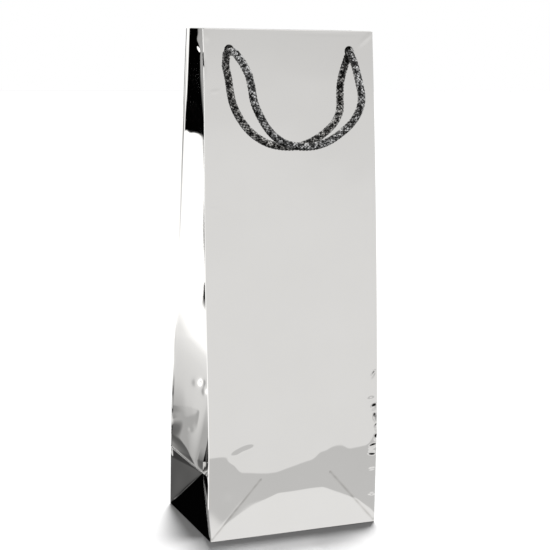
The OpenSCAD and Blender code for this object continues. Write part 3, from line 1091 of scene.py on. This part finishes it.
def make_seam():
    """The glued flap that joins the sheet into a tube, inside the back face."""
    across = np.linspace(-(HALF_W - 2), -(HALF_W - 16), 12)
    x, z = np.meshgrid(across, np.linspace(FOLD_H + 3, BAG_H - HEM_H - 2.5, 90))
    outer = on_face(x, z, "back", PAPER_T + LAYER)
    inner = on_face(x, z, "back", 2 * PAPER_T + LAYER)
    seam = shell("side_seam_strip", outer, inner, [PAPER, PAPER])
    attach(seam, "back_panel")
    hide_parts("side_seam_flap")


for face in ("front", "back"):
    make_face_sheet(face)
    make_face_lining(face)
for name in ("left", "right"):
    for half in ("front", "back"):
        make_gusset(name, half)
        make_gusset_hem(name, half)
    make_foot(name)
make_base()
make_seam()


# -------------------------------- studio


def sine(degrees):
    return math.sin(math.radians(degrees))


def at_degrees(stops):
    """Ramp stops from (degrees from -Y towards -X, grey)."""
    return [((a + 180) / 360, float(v)) for a, v in stops]


def at_elevation(stops):
    """Ramp stops from (degrees above the horizon, grey), over the sine from -1 to 1."""
    return [((sine(e) + 1) / 2, float(v)) for e, v in stops]


SIDES_SHADE = at_degrees([
    (-180, 0.002), (-152, 0.02), (-132, 0.75), (-96, 0.95), (-84, 0.5), (-66, 0.5), (-56, 0.69),
    (6, 0.69), (20, 0.5), (36, 0.42), (49, 0.36), (52, 0.0004), (86.5, 0.0004), (88.5, 1.2),
    (97, 1.2), (100, 0.86), (104, 0.75), (108, 0.7), (112, 0.66), (116, 0.52), (121, 0.4),
    (127, 0.4), (131, 0.15), (137, 0.08), (146, 0.0008), (180, 0.0006),
])
LOW_SHADE = at_degrees([
    (-180, 0.002), (-140, 0.02), (-100, 0.3), (-56, 0.3), (6, 0.3), (30, 0.3), (49, 0.2), (60, 0.05),
    (80, 0.3), (96, 0.29), (126, 0.29), (131, 0.085), (136, 0.08), (146, 0.002), (180, 0.002),
])
FRONT_SHADE = at_elevation([
    (-35, 0.004), (-25, 0.25), (-23, 0.78), (-19.3, 0.78), (-18.7, 0.535), (-14.3, 0.535),
    (-13.7, 0.73), (-6, 0.73), (1.5, 0.72), (4, 0.705), (6, 0.675), (8.5, 0.67), (11, 0.63),
    (20, 0.58), (40, 0.95),
])


def make_world():
    """A white surround for the camera, even soft light, and softboxes and dark flats that only
    mirror-like surfaces show. Directions are in degrees: round from -Y towards -X, and up from
    the horizon."""
    world = bpy.data.worlds.new("studio")
    bpy.context.scene.world = world
    world.use_nodes = True
    nodes = Nodes(world.node_tree)
    way = nodes.add("ShaderNodeTexCoord").outputs["Generated"]
    split = nodes.add("ShaderNodeSeparateXYZ")
    nodes.join(way, split.inputs[0])
    x, y, z = split.outputs
    turn = nodes.math("ARCTAN2", nodes.math("MULTIPLY", x, -1.0), nodes.math("MULTIPLY", y, -1.0))
    place = nodes.math("ADD", nodes.math("MULTIPLY", turn, 1 / (2 * math.pi)), 0.5)
    height = nodes.math("ADD", nodes.math("MULTIPLY", z, 0.5), 0.5)
    aside = nodes.math("ABSOLUTE", turn)

    def round_from(outside, inside, angle=turn):
        """0 at the turn `outside`, rising to 1 at the turn `inside`."""
        return nodes.smooth_step(angle, math.radians(outside), math.radians(inside))

    def up_from(outside, inside):
        """0 at the elevation `outside`, rising to 1 at the elevation `inside`."""
        return nodes.smooth_step(z, sine(outside), sine(inside))

    def together(first, *others):
        for other in others:
            first = nodes.math("MULTIPLY", first, other)
        return first

    top_edge = nodes.math("ADD", nodes.math("MULTIPLY", round_from(72, 84), sine(1.05)), sine(-11.65))
    under = nodes.smooth_step(nodes.math("SUBTRACT", top_edge, z), 0.0, 0.004)
    low_card = together(under, round_from(51, 54), round_from(98, 94))
    beside = together(up_from(-9.5, -8.9), round_from(80, 83), round_from(100, 94))
    deep = together(up_from(-29, -31), round_from(98, 103), round_from(140, 136))
    behind = together(round_from(170, 174, aside), up_from(-32, -28))
    strip = together(
        round_from(142, 147, aside), round_from(166, 160, aside), up_from(-32, -28), up_from(-11, -13)
    )
    behind = nodes.math("MAXIMUM", behind, strip)
    ahead = together(round_from(-62, -54), round_from(16, 6))
    studio = nodes.ramp(place, SIDES_SHADE)
    studio = nodes.mix(up_from(24, 38), studio, grey(0.95))
    studio = nodes.mix(low_card, studio, grey(1.2))
    studio = nodes.mix(beside, studio, grey(1.1))
    studio = nodes.mix(up_from(-20, -22.5), studio, nodes.ramp(place, LOW_SHADE))
    studio = nodes.mix(deep, studio, grey(0.065))
    studio = nodes.mix(behind, studio, grey(0.64))
    studio = nodes.mix(ahead, studio, nodes.ramp(height, FRONT_SHADE))
    soft = nodes.ramp(height, [(0.0, 0.55), (0.5, 0.85), (1.0, 1.25)])
    ray = nodes.add("ShaderNodeLightPath")
    seen = nodes.mix(ray.outputs["Is Diffuse Ray"], studio, soft)
    seen = nodes.mix(ray.outputs["Is Camera Ray"], seen, grey(1))
    background = nodes.add("ShaderNodeBackground")
    nodes.join(seen, background.inputs["Color"])
    output = nodes.add("ShaderNodeOutputWorld")
    nodes.join(background.outputs[0], output.inputs["Surface"])


FLOOR_R = 6.0
SUN_WAY = Vector((-0.026, -0.052, -0.36))


def make_floor():
    """A plain pale floor, and a soft overhead lamp that lights nothing else and so casts only the
    bag's shadow on it."""
    material, nodes, shader, place = new_material("pale_floor")
    tint = nodes.ramp(nodes.noise(place, 3.0, 2.0), [(0.3, 0.178), (0.7, 0.182)])
    nodes.join(tint, shader.inputs["Base Color"])
    shader.inputs["Roughness"].default_value = 1.0
    shader.inputs["Specular IOR Level"].default_value = 0.0
    mesh = bpy.data.meshes.new("floor")
    corners = [(x * FLOOR_R, y * FLOOR_R, 0) for x, y in ((-1, -1), (1, -1), (1, 1), (-1, 1))]
    mesh.from_pydata(corners, [], [(0, 1, 2, 3)])
    mesh.materials.append(material)
    floor = bpy.data.objects.new("floor", mesh)
    bpy.context.scene.collection.objects.link(floor)
    floor.location.z = -0.0004
    floor.visible_glossy = False
    only_floor = bpy.data.collections.new("lit_by_shadow_lamp")
    only_floor.objects.link(floor)
    lamp_data = bpy.data.lights.new("shadow_lamp", "SUN")
    lamp_data.energy = 16.8
    lamp_data.angle = math.radians(6.0)
    lamp = bpy.data.objects.new("shadow_lamp", lamp_data)
    bpy.context.scene.collection.objects.link(lamp)
    lamp.rotation_euler = SUN_WAY.to_track_quat("-Z", "Y").to_euler()
    lamp.light_linking.receiver_collection = only_floor


make_world()
make_floor()
bpy.context.scene.view_settings.view_transform = "Standard"
